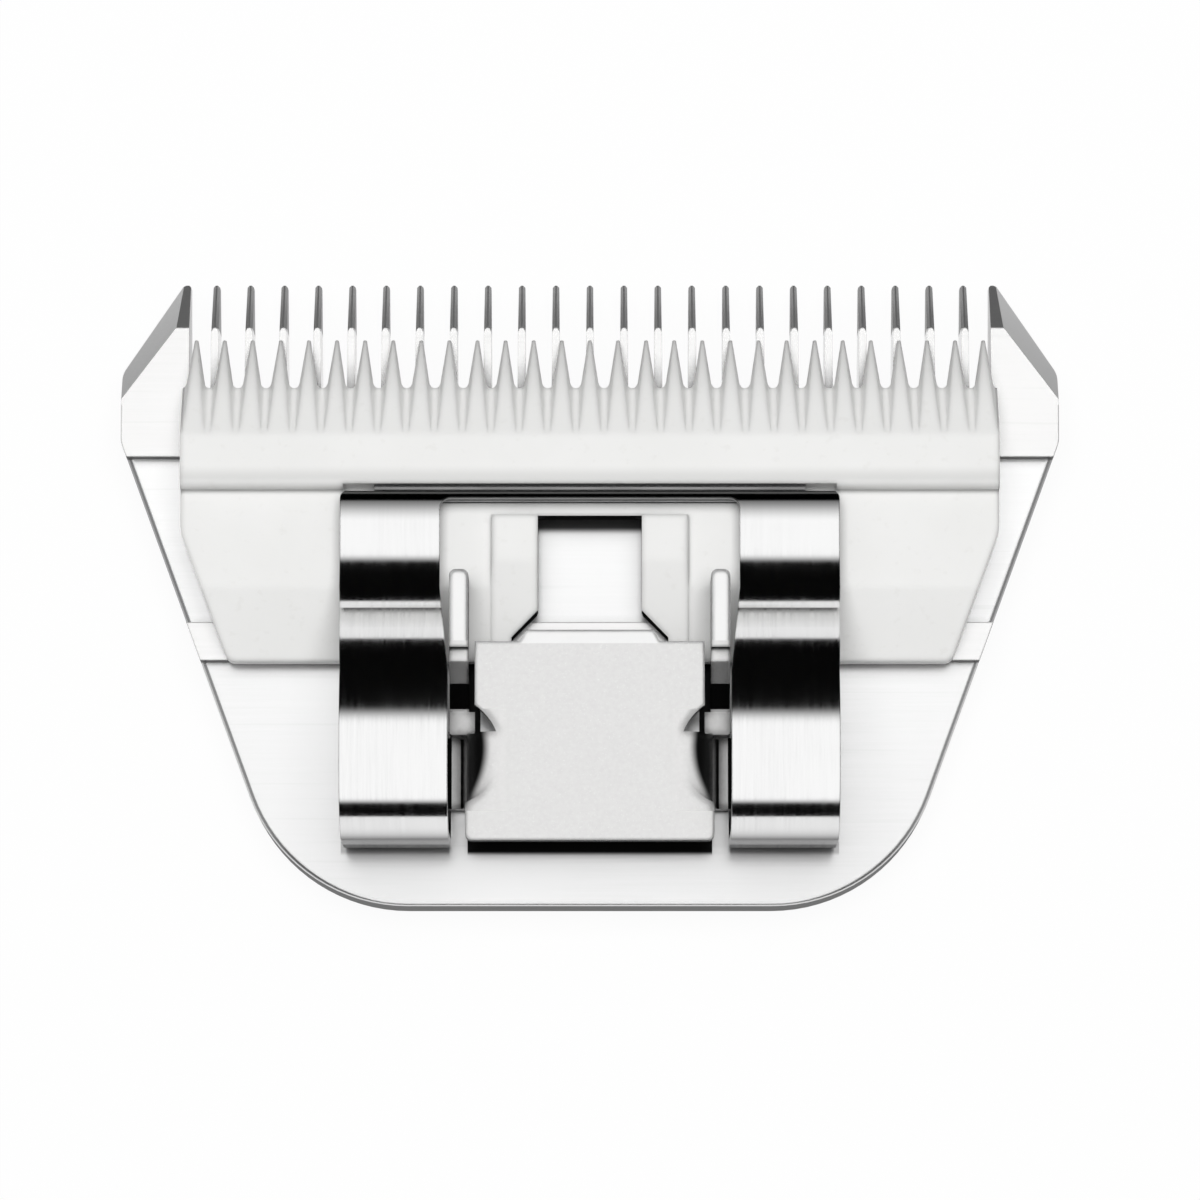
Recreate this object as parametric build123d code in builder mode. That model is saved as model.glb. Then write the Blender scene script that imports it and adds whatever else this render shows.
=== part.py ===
from build123d import *
from math import asin, atan2, cos, degrees, radians, sin, tan
import os

os.makedirs("parts", exist_ok=True)

# Detachable hair clipper blade set, in millimetres.
# X runs along the row of teeth, +Y points to the tooth tips and +Z points away from the skin.
# The origin is the centre of the comb's skin face.

# Comb plate, with the share of its length that each stretch takes, from the tooth tips towards the rear
comb_width = 52.0
comb_length = 34.77
front_land_share = 0.2842
front_relief_share = 0.2655
rear_rail_share = 0.061
plate_thickness = 3.4
land_height = 1.0
side_slope = 20.2
side_bend_rise = 0.8
side_bend_radius = 1.6
rear_corner_radius = 9.3
relief_edge_radius = 0.32

# Comb teeth
comb_pitch = 1.893
comb_tooth_width = 0.47
comb_tip_width = 0.36
comb_gap_depth = 7.2
gap_corner = 0.38
tip_bevel_length = 2.63
tip_bevel_drop = 1.7
skin_bevel_length = 10.5
skin_bevel_rise = 1.7
tip_chamfer = 0.11
tip_side_chamfer = 0.14

# Wings beside the row of teeth
wing_width = 3.67
wing_lap = 0.23
wing_tip_width = 0.15
wing_slant = 33.6
wing_bevel_inset = 0.48
wing_bevel_slant = 37.0
wing_bevel_tilt = 52.0
wing_corner_radius = 1.2

# Cutter
running_film = 0.02
cutter_lap = 0.05
cutter_tip_setback = 3.46
cutter_tooth_depth = 2.73
cutter_pitch = 1.558
cutter_gullet_width = 0.62
cutter_tip_width = 0.2
cutter_tip_thickness = 0.6
cutter_block_height = 3.28
cutter_bevel_length = 5.6
cutter_deck_height = 2.28
riser_setback = 8.59
riser_radius = 0.95
centre_riser_radius = 0.5
centre_riser_splay = 135.0
flute_width = 0.34
flute_floor = 0.95
flute_flare = 21.8
cutter_deck_depth = 5.41
cutter_rear_height = 1.15
cutter_rear_overhang = 0.22
cutter_flank_setback = 10.95
cutter_flank_radius = 2.5
cutter_rear_radius = 0.6
contact_relief = 0.6
contact_margin = 0.35
drive_slot_width = 5.72
drive_slot_wall = 0.69
drive_mouth_flare = 1.45
drive_slot_straight = 5.23
cheek_width = 2.55
cheek_flat = 2.5
cheek_height = 0.55
cheek_rear_rise = 0.25
cheek_radius = 0.2
stroke = 1.6
end_play = 0.1

# Cutter guide bar
guide_end = 0.47
guide_rear_margin = 0.05
guide_height = 1.4
guide_setback = 0.18
guide_clearance = 0.05
guide_groove_depth = 0.78
guide_chamfer = 0.12

# Tension spring
spring_thickness = 0.5
lip_inset = 2.3
lip_drop = 0.75
lip_setback = 0.33
spring_front_rise = 0.32
leg_flare = 0.2
leg_side_gap = 0.6
leg_ear_gap = 0.55
foot_margin = 3.1
leg_front_flat = 5.25
leg_slope = 50.0
spring_height = 10.87
spring_rear_reach = 4.15
foot_front_reach = 2.4
knee_top_radius = 7.95
knee_bottom_radius = 4.9
rear_top_radius = 4.0
rear_bottom_radius = 1.9
lip_bend_radius = 0.5
leg_corner_radius = 0.5
window_corner_radius = 0.6

# Socket sheet
sheet = 1.05
web_half_width = 6.28
web_rear_half_width = 6.8
wall_base = 7.05
wall_lean = 5.0
channel_height = 4.2
bend_radius = 0.55
flange_bend_radius = 0.1
flange_margin = 2.1
flange_depth = 3.9
web_front_reach = 6.9
web_rear_reach = 4.01
notch_depth = 1.45
tongue_root = 3.9
tongue_tip = 3.48
tongue_length = 0.75
tongue_rise = 8.0
ear_offset = 0.865
ear_front_reach = 10.71
ear_rear_reach = 6.44
ear_height = 2.4
ear_step_height = 1.6
ear_step_depth = 0.7
ear_ramp_length = 1.1
ear_ramp_slope = 48.0
ear_corner_radius = 0.35
ear_gap = 0.3
neck_length = 1.45
neck_slope = 37.0
shelf_thickness = 1.4
shelf_lap = 0.77
web_corner_radius = 0.4

# Fixing screws
screw_wall_gap = 3.35
screw_setback = 6.34
screw_radius = 1.45
screw_head_radius = 2.75
screw_head_angle = 90.0
screw_head_recess = 0.1
screw_slot_width = 0.8
screw_slot_depth = 0.9
screw_end = 0.35
hole_clearance = 0.1
seat_clearance = 0.03

# Places along Y
front_y = comb_length / 2
rear_y = -comb_length / 2
land_rear_y = front_y - comb_length * front_land_share
rail_front_y = land_rear_y - comb_length * front_relief_share
rail_rear_y = rail_front_y - comb_length * rear_rail_share
screw_y = rail_rear_y - screw_setback

# Heights
land_z = plate_thickness + land_height
cutter_z = land_z + running_film
block_z = cutter_z + cutter_block_height
deck_z = cutter_z + cutter_deck_height
cheek_z = deck_z + cheek_height
groove_z = deck_z - guide_groove_depth
foot_z = plate_thickness
flange_z = foot_z + spring_thickness
web_z = plate_thickness + channel_height
web_top_z = web_z + sheet
ear_z = max(web_z, cheek_z + ear_gap)

# Places across X
row_gaps = round((comb_width - 2 * wing_width + comb_tooth_width) / comb_pitch)
row_half = (row_gaps * comb_pitch - comb_tooth_width) / 2
comb_half = comb_width / 2
screw_x = wall_base + screw_wall_gap
ear_x = web_half_width + ear_offset
leg_inner_front = ear_x + sheet / 2 + leg_ear_gap
leg_inner_rear = max(wall_base, web_rear_half_width) + leg_side_gap
leg_outer_rear = screw_x + foot_margin
leg_outer_front = leg_outer_rear + leg_flare
lip_half = leg_outer_front - lip_inset
guide_half = lip_half + guide_end
groove_half = guide_half + stroke + end_play

# The reach that makes a cut pass clear of whatever it cuts
past = comb_width

# Comb
wing_tip_x = row_half + wing_tip_width
wing_foot_y = front_y - (comb_half - wing_tip_x) / tan(radians(wing_slant))
side_foot_x = comb_half - (land_rear_y + side_bend_rise - rear_y) * tan(radians(side_slope))
gap_half = (comb_pitch - comb_tooth_width) / 2
gap_mouth_half = (comb_pitch - comb_tip_width) / 2
gap_floor_y = front_y - comb_gap_depth

with BuildSketch() as comb_gap:
    with BuildLine():
        Polyline(
            (0, gap_floor_y),
            (gap_half - gap_corner, gap_floor_y),
            (gap_half, gap_floor_y + gap_corner),
            (gap_mouth_half, front_y),
            (gap_mouth_half, front_y + comb_pitch),
            (0, front_y + comb_pitch),
        )
        mirror(about=Plane.YZ)
    make_face()

with BuildPart() as comb:
    # Plan of the plate with its wings and tooth gaps
    with BuildSketch() as comb_plan:
        with BuildLine():
            Polyline(
                (0, rear_y),
                (side_foot_x, rear_y),
                (comb_half, land_rear_y + side_bend_rise),
                (comb_half, wing_foot_y),
                (wing_tip_x, front_y),
                (0, front_y),
            )
            mirror(about=Plane.YZ)
        make_face()
        fillet(comb_plan.vertices().group_by(Axis.Y)[0], rear_corner_radius)
        fillet(comb_plan.vertices().group_by(Axis.X)[0].sort_by(Axis.Y)[:1], side_bend_radius)
        fillet(comb_plan.vertices().group_by(Axis.X)[-1].sort_by(Axis.Y)[:1], side_bend_radius)
        fillet(comb_plan.vertices().group_by(Axis.X)[0].sort_by(Axis.Y)[-1:], wing_corner_radius)
        fillet(comb_plan.vertices().group_by(Axis.X)[-1].sort_by(Axis.Y)[-1:], wing_corner_radius)
        with GridLocations(comb_pitch, 0, row_gaps, 1):
            add(comb_gap.sketch, mode=Mode.SUBTRACT)
        wing_side_x = row_half + (wing_tip_width - wing_lap) / 2
        with Locations((-wing_side_x, front_y), (wing_side_x, front_y)):
            Rectangle(wing_tip_width + wing_lap, comb_gap_depth, align=(Align.CENTER, Align.MAX))
        chamfer(comb_plan.vertices().group_by(Axis.Y)[-1], tip_chamfer)
    extrude(amount=land_z)

    # Long bevel on the skin side and short bevel on the inner side of the tooth tips
    with BuildSketch(Plane.YZ):
        with BuildLine():
            Polyline(
                (front_y - skin_bevel_length, 0),
                (front_y, skin_bevel_rise),
                (front_y + past, skin_bevel_rise),
                (front_y + past, -past),
                (front_y - skin_bevel_length, -past),
                close=True,
            )
        make_face()
        with BuildLine():
            Polyline(
                (front_y - tip_bevel_length, land_z),
                (front_y, land_z - tip_bevel_drop),
                (front_y + past, land_z - tip_bevel_drop),
                (front_y + past, past),
                (front_y - tip_bevel_length, past),
                close=True,
            )
        make_face()
    extrude(amount=past, both=True, mode=Mode.SUBTRACT)

    # The tooth tips are narrower on top, so that each land ends in a blunt nose
    tip_sides = comb.edges().filter_by(
        lambda e: e.length > tip_bevel_length
        and abs(e.center().Z - land_z + tip_bevel_drop / 2) < tip_chamfer
        and abs(e.center().X) < row_half - wing_lap - tip_chamfer
    )
    chamfer(tip_sides, tip_side_chamfer)

    # Bevel along the slanted outer corner of each wing
    wing_plane = Plane(
        origin=(row_half + wing_bevel_inset, front_y - tip_bevel_length, land_z),
        x_dir=(cos(radians(wing_bevel_slant)), sin(radians(wing_bevel_slant)), 0),
        z_dir=(sin(radians(wing_bevel_slant)), -cos(radians(wing_bevel_slant)), 0),
    )
    with BuildSketch(wing_plane):
        with BuildLine():
            Polyline(
                (0, 0),
                (past, -past * tan(radians(wing_bevel_tilt))),
                (past, past),
                (0, past),
                close=True,
            )
        make_face()
    wing_cut = extrude(amount=past, both=True, mode=Mode.SUBTRACT)
    mirror(wing_cut, about=Plane.YZ, mode=Mode.SUBTRACT)

    # Reliefs between the land, the rail and the rear edge
    with BuildSketch(Plane.XY.offset(plate_thickness)):
        with Locations((0, (land_rear_y + rail_front_y) / 2)):
            Rectangle(past, land_rear_y - rail_front_y)
        with Locations((0, rail_rear_y)):
            Rectangle(past, past, align=(Align.CENTER, Align.MAX))
    extrude(amount=past, mode=Mode.SUBTRACT)
    relief_edges = comb.edges().filter_by(lambda e: abs(e.center().Z - plate_thickness) < seat_clearance)
    step_lines = (land_rear_y, rail_front_y, rail_rear_y)
    outer_edges = relief_edges.filter_by(
        lambda e: min(abs(e.center().Y - y) for y in step_lines) > seat_clearance
    )
    fillet(outer_edges, relief_edge_radius)

    # Countersunk holes for the fixing screws, from the skin side
    with Locations(
        Location((-screw_x, screw_y, 0), (180, 0, 0)),
        Location((screw_x, screw_y, 0), (180, 0, 0)),
    ):
        CounterSinkHole(
            radius=screw_radius + hole_clearance,
            counter_sink_radius=screw_head_radius + screw_head_recess + seat_clearance,
            depth=land_z,
            counter_sink_angle=screw_head_angle,
        )
comb.part.label = "comb"

# Cutter
cutter_half = row_half + cutter_lap
cutter_tip_y = front_y - cutter_tip_setback
gullet_y = cutter_tip_y - cutter_tooth_depth
riser_y = cutter_tip_y - riser_setback
deck_rear_y = riser_y - cutter_deck_depth
cutter_rear_y = rail_rear_y - cutter_rear_overhang
flank_y = cutter_tip_y - cutter_flank_setback
flank_foot_x = cutter_half - (flank_y - cutter_rear_y) * tan(radians(side_slope))
cutter_gullets = round((2 * cutter_half + cutter_pitch) / cutter_pitch)
gullet_half = cutter_gullet_width / 2
gullet_mouth_half = (cutter_pitch - cutter_tip_width) / 2
gullet_lean = degrees(asin((gullet_mouth_half - gullet_half) / cutter_tooth_depth))
guide_depth = lip_setback + spring_thickness + guide_rear_margin
groove_front_y = riser_y + guide_setback + guide_clearance
groove_rear_y = groove_front_y - guide_depth - 2 * guide_clearance
drive_slot_y = groove_rear_y - drive_slot_wall
drive_mouth_y = drive_slot_y - drive_slot_straight
bevel_rear_y = cutter_tip_y - cutter_bevel_length

with BuildSketch() as cutter_gullet:
    gullet_centre_y = gullet_y + gullet_half
    with BuildLine():
        gullet_floor = JernArc(
            (
                -gullet_half * cos(radians(gullet_lean)),
                gullet_centre_y - gullet_half * sin(radians(gullet_lean)),
            ),
            (sin(radians(gullet_lean)), -cos(radians(gullet_lean))),
            gullet_half,
            180 - 2 * gullet_lean,
        )
        Polyline(
            gullet_floor @ 1,
            (gullet_mouth_half, cutter_tip_y),
            (gullet_mouth_half, cutter_tip_y + cutter_pitch),
            (-gullet_mouth_half, cutter_tip_y + cutter_pitch),
            (-gullet_mouth_half, cutter_tip_y),
            gullet_floor @ 0,
        )
    make_face()

with BuildPart() as cutter:
    # Section across the cutter: toothed bevel, block, rounded riser, deck and rear bevel
    with BuildSketch(Plane.YZ) as cutter_section:
        with BuildLine():
            Polyline(
                (cutter_tip_y, cutter_z),
                (cutter_tip_y, cutter_z + cutter_tip_thickness),
                (bevel_rear_y, block_z),
                (riser_y, block_z),
                (riser_y, deck_z),
                (deck_rear_y, deck_z),
                (cutter_rear_y, cutter_z + cutter_rear_height),
                (cutter_rear_y, cutter_z),
                (rail_front_y + contact_margin, cutter_z),
                (rail_front_y + contact_margin, cutter_z + contact_relief),
                (land_rear_y - contact_margin, cutter_z + contact_relief),
                (land_rear_y - contact_margin, cutter_z),
                close=True,
            )
        make_face()
        riser_corner = cutter_section.vertices().filter_by(
            lambda v: abs(v.Y - riser_y) < seat_clearance and v.Z > deck_z + seat_clearance
        )
        fillet(riser_corner, min(riser_radius, block_z - deck_z - seat_clearance))
    extrude(amount=cutter_half, both=True)

    # The middle of the riser stands further back, over the guide
    with BuildSketch(Plane.XY.offset(deck_z)):
        with Locations((0, riser_y)):
            Trapezoid(
                2 * groove_half,
                riser_setback - cutter_bevel_length,
                centre_riser_splay,
                centre_riser_splay,
                align=(Align.CENTER, Align.MIN),
            )
    extrude(amount=block_z - deck_z)
    riser_edges = cutter.edges().filter_by(Axis.X).filter_by(
        lambda e: abs(e.center().Y - riser_y) < seat_clearance
    )
    fillet(riser_edges.group_by(Axis.Z)[-1], centre_riser_radius)

    # Raised cheeks on both sides of the drive slot, sloping down towards the rear
    cheek_half = drive_slot_width / 2 + cheek_width
    rear_top_z = cutter_z + cutter_rear_height
    with BuildSketch(Plane.YZ):
        with BuildLine():
            Polyline(
                (drive_slot_y, rear_top_z),
                (drive_slot_y, cheek_z),
                (drive_slot_y - cheek_flat, cheek_z),
                (cutter_rear_y, rear_top_z + cheek_rear_rise),
                (cutter_rear_y, rear_top_z),
                close=True,
            )
        make_face()
    extrude(amount=cheek_half, both=True)
    cheek_edges = cutter.edges().filter_by(
        lambda e: abs(abs(e.center().X) - cheek_half) < seat_clearance
        and e.length > cheek_flat / 2
        and e.center().Z > max(deck_z + cheek_height / 2, rear_top_z)
    )
    fillet(cheek_edges, cheek_radius)

    # Plan of the flanks that run parallel to the comb's sides
    with BuildSketch() as cutter_plan:
        with BuildLine():
            Polyline(
                (0, cutter_rear_y),
                (flank_foot_x, cutter_rear_y),
                (cutter_half, flank_y),
                (cutter_half, cutter_tip_y),
                (0, cutter_tip_y),
            )
            mirror(about=Plane.YZ)
        make_face()
        fillet(cutter_plan.vertices().group_by(Axis.Y)[0], cutter_rear_radius)
        fillet(cutter_plan.vertices().group_by(Axis.X)[0].sort_by(Axis.Y)[:1], cutter_flank_radius)
        fillet(cutter_plan.vertices().group_by(Axis.X)[-1].sort_by(Axis.Y)[:1], cutter_flank_radius)
        with GridLocations(cutter_pitch, 0, cutter_gullets, 1):
            add(cutter_gullet.sketch, mode=Mode.SUBTRACT)
    extrude(amount=past, both=True, mode=Mode.INTERSECT)

    # Each gullet runs out in a flute up the bevel, which also narrows the tops of the teeth
    flute_front_z = cutter_z + flute_floor
    flute_slope = atan2(block_z - flute_front_z, gullet_y - bevel_rear_y)
    flute_plane = Plane(
        origin=(0, gullet_y, flute_front_z),
        x_dir=(1, 0, 0),
        z_dir=(0, -cos(flute_slope), sin(flute_slope)),
    )
    flute_top_half = flute_width / 2 + cutter_block_height * tan(radians(flute_flare))
    with BuildSketch(flute_plane):
        with BuildLine():
            Polyline(
                (-flute_width / 2, 0),
                (flute_width / 2, 0),
                (flute_top_half, cutter_block_height),
                (-flute_top_half, cutter_block_height),
                close=True,
            )
        make_face()
    flute = extrude(amount=cutter_bevel_length, both=True, mode=Mode.PRIVATE)
    with GridLocations(cutter_pitch, 0, cutter_gullets, 1):
        add(flute, mode=Mode.SUBTRACT)

    # Groove that runs along the guide bar
    with BuildSketch(Plane.XY.offset(groove_z)):
        with Locations((0, groove_front_y)):
            Rectangle(2 * groove_half, groove_front_y - groove_rear_y, align=(Align.CENTER, Align.MAX))
    extrude(amount=past, mode=Mode.SUBTRACT)

    # Drive slot, open to the rear with a flared mouth
    with BuildSketch():
        with BuildLine():
            Polyline(
                (0, drive_slot_y),
                (drive_slot_width / 2, drive_slot_y),
                (drive_slot_width / 2, drive_mouth_y),
                (drive_slot_width / 2 + drive_mouth_flare, drive_mouth_y - drive_mouth_flare),
                (drive_slot_width / 2 + drive_mouth_flare, rear_y),
                (0, rear_y),
            )
            mirror(about=Plane.YZ)
        make_face()
    extrude(amount=past, mode=Mode.SUBTRACT)
cutter.part.label = "cutter"

# Cutter guide: a bar in the cutter's groove, with a step for the spring's lip
guide_front_y = groove_front_y - guide_clearance
guide_z = groove_z + guide_clearance
guide_top_z = guide_z + guide_height
lip_front_y = guide_front_y - lip_setback
lip_y = lip_front_y - spring_thickness / 2
leg_z = guide_top_z + spring_front_rise + spring_thickness / 2
lip_end_z = leg_z - spring_thickness / 2 - lip_drop

with BuildPart() as cutter_guide:
    with BuildSketch(Plane.XY.offset(guide_z)):
        with Locations((0, guide_front_y)):
            Rectangle(2 * guide_half, guide_depth, align=(Align.CENTER, Align.MAX))
    extrude(amount=guide_height)
    chamfer(cutter_guide.edges().filter_by(Axis.X), guide_chamfer)
    with BuildSketch(Plane.XY.offset(lip_end_z - guide_clearance)):
        with Locations((0, lip_y)):
            Rectangle(past, spring_thickness + 2 * guide_clearance)
    extrude(amount=past, mode=Mode.SUBTRACT)
cutter_guide.part.label = "cutter_guide"

# Tension spring: one strip, bent along its length, with a window between two legs
hump_z = foot_z + spring_height - spring_thickness / 2
foot_mid_z = foot_z + spring_thickness / 2
spring_rear_y = screw_y - spring_rear_reach + spring_thickness / 2
knee_bottom_y = lip_y - leg_front_flat
knee_top_y = knee_bottom_y - (hump_z - leg_z) / tan(radians(leg_slope))
slope_length = (hump_z - leg_z) / sin(radians(leg_slope))
knee_turn = tan(radians(leg_slope / 2))
knee_fit = min(1, slope_length / (knee_turn * (knee_top_radius + knee_bottom_radius) + spring_thickness))
foot_room = screw_y - flange_depth / 2 - spring_rear_y
hump_room = knee_top_y - spring_rear_y - knee_fit * knee_top_radius * knee_turn

with BuildPart() as tension_spring:
    with BuildSketch(Plane.YZ):
        with BuildLine():
            FilletPolyline(
                (screw_y + foot_front_reach, foot_mid_z),
                (spring_rear_y, foot_mid_z),
                (spring_rear_y, hump_z),
                (knee_top_y, hump_z),
                (knee_bottom_y, leg_z),
                (lip_y, leg_z),
                (lip_y, lip_end_z),
                radius=[
                    min(rear_bottom_radius, foot_room),
                    min(rear_top_radius, hump_room - spring_thickness),
                    knee_fit * knee_top_radius,
                    knee_fit * knee_bottom_radius,
                    lip_bend_radius,
                ],
            )
        trace(line_width=spring_thickness)
    extrude(amount=past, both=True)

    # Plan of the two legs, joined only by the lip
    with BuildSketch() as spring_plan:
        with BuildLine():
            Polyline(
                (0, lip_front_y),
                (leg_outer_front, lip_front_y),
                (leg_outer_front, knee_bottom_y),
                (leg_outer_rear, knee_top_y),
                (leg_outer_rear, rear_y - past),
                (0, rear_y - past),
            )
            mirror(about=Plane.YZ)
        make_face()
        fillet(spring_plan.vertices().group_by(Axis.Y)[-1], leg_corner_radius)
        with BuildLine():
            Polyline(
                (0, lip_front_y - spring_thickness),
                (leg_inner_front, lip_front_y - spring_thickness),
                (leg_inner_front, knee_bottom_y),
                (leg_inner_rear, knee_top_y),
                (leg_inner_rear, rear_y - past),
                (0, rear_y - past),
            )
            mirror(about=Plane.YZ)
        make_face(mode=Mode.SUBTRACT)
        window_sides = spring_plan.vertices().filter_by(
            lambda v: abs(abs(v.X) - leg_inner_front) < seat_clearance
        )
        fillet(window_sides.group_by(Axis.Y)[-1], window_corner_radius)
    extrude(amount=past, both=True, mode=Mode.INTERSECT)

    # The lip is narrower than the legs
    with BuildSketch(Plane.XY.offset(leg_z - spring_thickness / 2)):
        with Locations((lip_half, lip_y), (-lip_half - past, lip_y)):
            Rectangle(past, 2 * lip_bend_radius + spring_thickness, align=(Align.MIN, Align.CENTER))
    extrude(amount=-past, mode=Mode.SUBTRACT)
    with Locations((-screw_x, screw_y, foot_z), (screw_x, screw_y, foot_z)):
        Cylinder(screw_radius + hole_clearance, 2 * spring_thickness, mode=Mode.SUBTRACT)
tension_spring.part.label = "tension_spring"

# Socket: folded sheet that takes the hinge tongue of the clipper
flange_front_y = screw_y + flange_depth / 2
flange_rear_y = screw_y - flange_depth / 2
web_front_y = screw_y + web_front_reach
web_rear_y = screw_y - web_rear_reach
notch_y = flange_front_y + notch_depth
wall_top = wall_base - (web_top_z - flange_z) * tan(radians(wall_lean))
ear_front_y = screw_y + ear_front_reach
ear_rear_y = screw_y + ear_rear_reach
ear_top_z = ear_z + ear_height
ear_step_z = ear_z + ear_step_height
ear_step_y = ear_rear_y - ear_step_depth
ramp_y = ear_step_y - ear_ramp_length
ramp_z = ear_step_z - ear_ramp_length * tan(radians(ear_ramp_slope))
shelf_y = ramp_y - neck_length
shelf_z = ramp_z - neck_length * tan(radians(neck_slope))
flange_reach = screw_x + flange_margin

with BuildPart() as socket_ear:
    # Side view: shelf on the wall's front end, sloping neck, step and upright ear
    with BuildSketch(Plane.YZ.offset(ear_x - sheet / 2)):
        with BuildLine():
            Polyline(
                (flange_front_y, shelf_z - shelf_thickness),
                (shelf_y, shelf_z - shelf_thickness),
                (ear_step_y, ear_z),
                (ear_front_y, ear_z),
                (ear_front_y, ear_top_z),
                (ear_rear_y, ear_top_z),
                (ear_rear_y, ear_step_z),
                (ear_step_y, ear_step_z),
                (ramp_y, ramp_z),
                (shelf_y, shelf_z),
                (flange_front_y, shelf_z),
                close=True,
            )
        make_face()
    extrude(amount=sheet)
    fillet(socket_ear.edges().filter_by(Axis.Z).group_by(Axis.Y)[-1], ear_corner_radius)

    # The shelf reaches in over the front end of the wall
    shelf_x = wall_base - shelf_lap
    with BuildSketch(Plane.YZ.offset(shelf_x)):
        with Locations((flange_front_y, shelf_z)):
            Rectangle(shelf_y - flange_front_y, shelf_thickness, align=(Align.MIN, Align.MAX))
    extrude(amount=ear_x - shelf_x)

with BuildPart() as socket:
    # Folded section: flange, leaning wall, web, wall and flange
    with BuildSketch(Plane.XZ.offset(-flange_front_y)):
        with BuildLine():
            FilletPolyline(
                (flange_reach, flange_z + sheet / 2),
                (wall_base - sheet / 2, flange_z + sheet / 2),
                (wall_top - sheet / 2, web_z + sheet / 2),
                (sheet / 2 - wall_top, web_z + sheet / 2),
                (sheet / 2 - wall_base, flange_z + sheet / 2),
                (-flange_reach, flange_z + sheet / 2),
                radius=[
                    flange_bend_radius + sheet / 2,
                    bend_radius + sheet / 2,
                    bend_radius + sheet / 2,
                    flange_bend_radius + sheet / 2,
                ],
            )
        trace(line_width=sheet)
    extrude(amount=flange_depth)
    flange_corners = socket.edges().filter_by(Axis.Z).filter_by(
        lambda e: abs(abs(e.center().X) - flange_reach) < seat_clearance
    )
    fillet(flange_corners, flange_depth / 2 - seat_clearance)

    # Flat web, hollowed in a curve where the walls bend down, with a bent tongue at its front
    with BuildSketch(Plane.XY.offset(web_z)) as web_plan:
        with BuildLine():
            Polyline(
                (0, web_rear_y),
                (web_rear_half_width, web_rear_y),
                (web_rear_half_width, flange_rear_y),
            )
            ThreePointArc(
                (web_rear_half_width, flange_rear_y),
                (wall_top - sheet - bend_radius, screw_y),
                (web_half_width, notch_y),
            )
            Polyline(
                (web_half_width, notch_y),
                (web_half_width, web_front_y),
                (0, web_front_y),
            )
            mirror(about=Plane.YZ)
        make_face()
        fillet(web_plan.vertices().group_by(Axis.Y)[0], web_corner_radius)
    extrude(amount=sheet)
    tongue_plane = Plane(
        origin=(0, web_front_y, web_z),
        x_dir=(1, 0, 0),
        z_dir=(0, -sin(radians(tongue_rise)), cos(radians(tongue_rise))),
    )
    with BuildSketch(tongue_plane):
        with BuildLine():
            Polyline(
                (-tongue_root, -sheet),
                (tongue_root, -sheet),
                (tongue_root, 0),
                (tongue_tip, tongue_length),
                (-tongue_tip, tongue_length),
                (-tongue_root, 0),
                close=True,
            )
        make_face()
    extrude(amount=sheet)
    add(socket_ear.part)
    mirror(socket_ear.part, about=Plane.YZ)
    flange_mid_z = flange_z + sheet / 2
    with Locations((-screw_x, screw_y, flange_mid_z), (screw_x, screw_y, flange_mid_z)):
        Cylinder(screw_radius + seat_clearance, 2 * sheet, mode=Mode.SUBTRACT)
socket.part.label = "socket"

# Fixing screws: slotted countersunk heads below the skin face, ends just above the flanges
screw_top_z = flange_z + sheet + screw_end
head_height = (screw_head_radius - screw_radius) / tan(radians(screw_head_angle / 2))
with BuildPart() as fixing_screws:
    with Locations((-screw_x, screw_y, screw_head_recess), (screw_x, screw_y, screw_head_recess)):
        on_seat = (Align.CENTER, Align.CENTER, Align.MIN)
        Cone(screw_head_radius, screw_radius, head_height, align=on_seat)
        Cylinder(screw_radius, screw_top_z - screw_head_recess, align=on_seat)
        Box(2 * screw_head_radius, screw_slot_width, 2 * screw_slot_depth, mode=Mode.SUBTRACT)
fixing_screws.part.label = "fixing_screws"

export_step(comb.part, "parts/comb.step")
export_step(cutter.part, "parts/cutter.step")
export_step(cutter_guide.part, "parts/cutter_guide.step")
export_step(tension_spring.part, "parts/tension_spring.step")
export_step(socket.part, "parts/socket.step")
export_step(fixing_screws.part, "parts/fixing_screws.step")
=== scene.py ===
import math
import bpy
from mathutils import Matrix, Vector

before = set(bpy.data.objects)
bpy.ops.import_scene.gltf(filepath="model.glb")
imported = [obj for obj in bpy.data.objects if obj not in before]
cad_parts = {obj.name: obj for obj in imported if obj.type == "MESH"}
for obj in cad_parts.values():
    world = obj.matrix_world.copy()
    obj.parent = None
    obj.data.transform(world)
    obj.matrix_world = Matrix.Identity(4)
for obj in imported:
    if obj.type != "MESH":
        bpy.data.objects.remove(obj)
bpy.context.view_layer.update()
mm = 0.001
shadeSamples = 4  # rays for rounded edges and crevices
print("frame loaded:", ", ".join(sorted(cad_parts)))


def addNode(tree, kind, **values):
    node = tree.nodes.new("ShaderNode" + kind)
    for name, value in values.items():
        setattr(node, name, value)
    return node


def feed(tree, socket, source):  # links a socket, or sets a plain value
    if isinstance(source, bpy.types.NodeSocket):
        tree.links.new(source, socket)
    else:
        socket.default_value = source


def calc(tree, operation, *sources, clamp=False):
    node = addNode(tree, "Math", operation=operation, use_clamp=clamp)
    for socket, source in zip(node.inputs, sources):
        feed(tree, socket, source)
    return node.outputs[0]


def times(tree, product, *others):
    for other in others:
        product = calc(tree, "MULTIPLY", product, other)
    return product


def above(tree, source, limit):  # masks are one where they hold, and nought elsewhere
    return calc(tree, "GREATER_THAN", source, limit)


def below(tree, source, limit):
    return calc(tree, "LESS_THAN", source, limit)


def within(tree, source, low, high):
    return times(tree, above(tree, source, low), below(tree, source, high))


def either(tree, first, second):
    return calc(tree, "MAXIMUM", first, second)


def without(tree, first, second):
    return calc(tree, "SUBTRACT", first, second, clamp=True)


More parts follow.
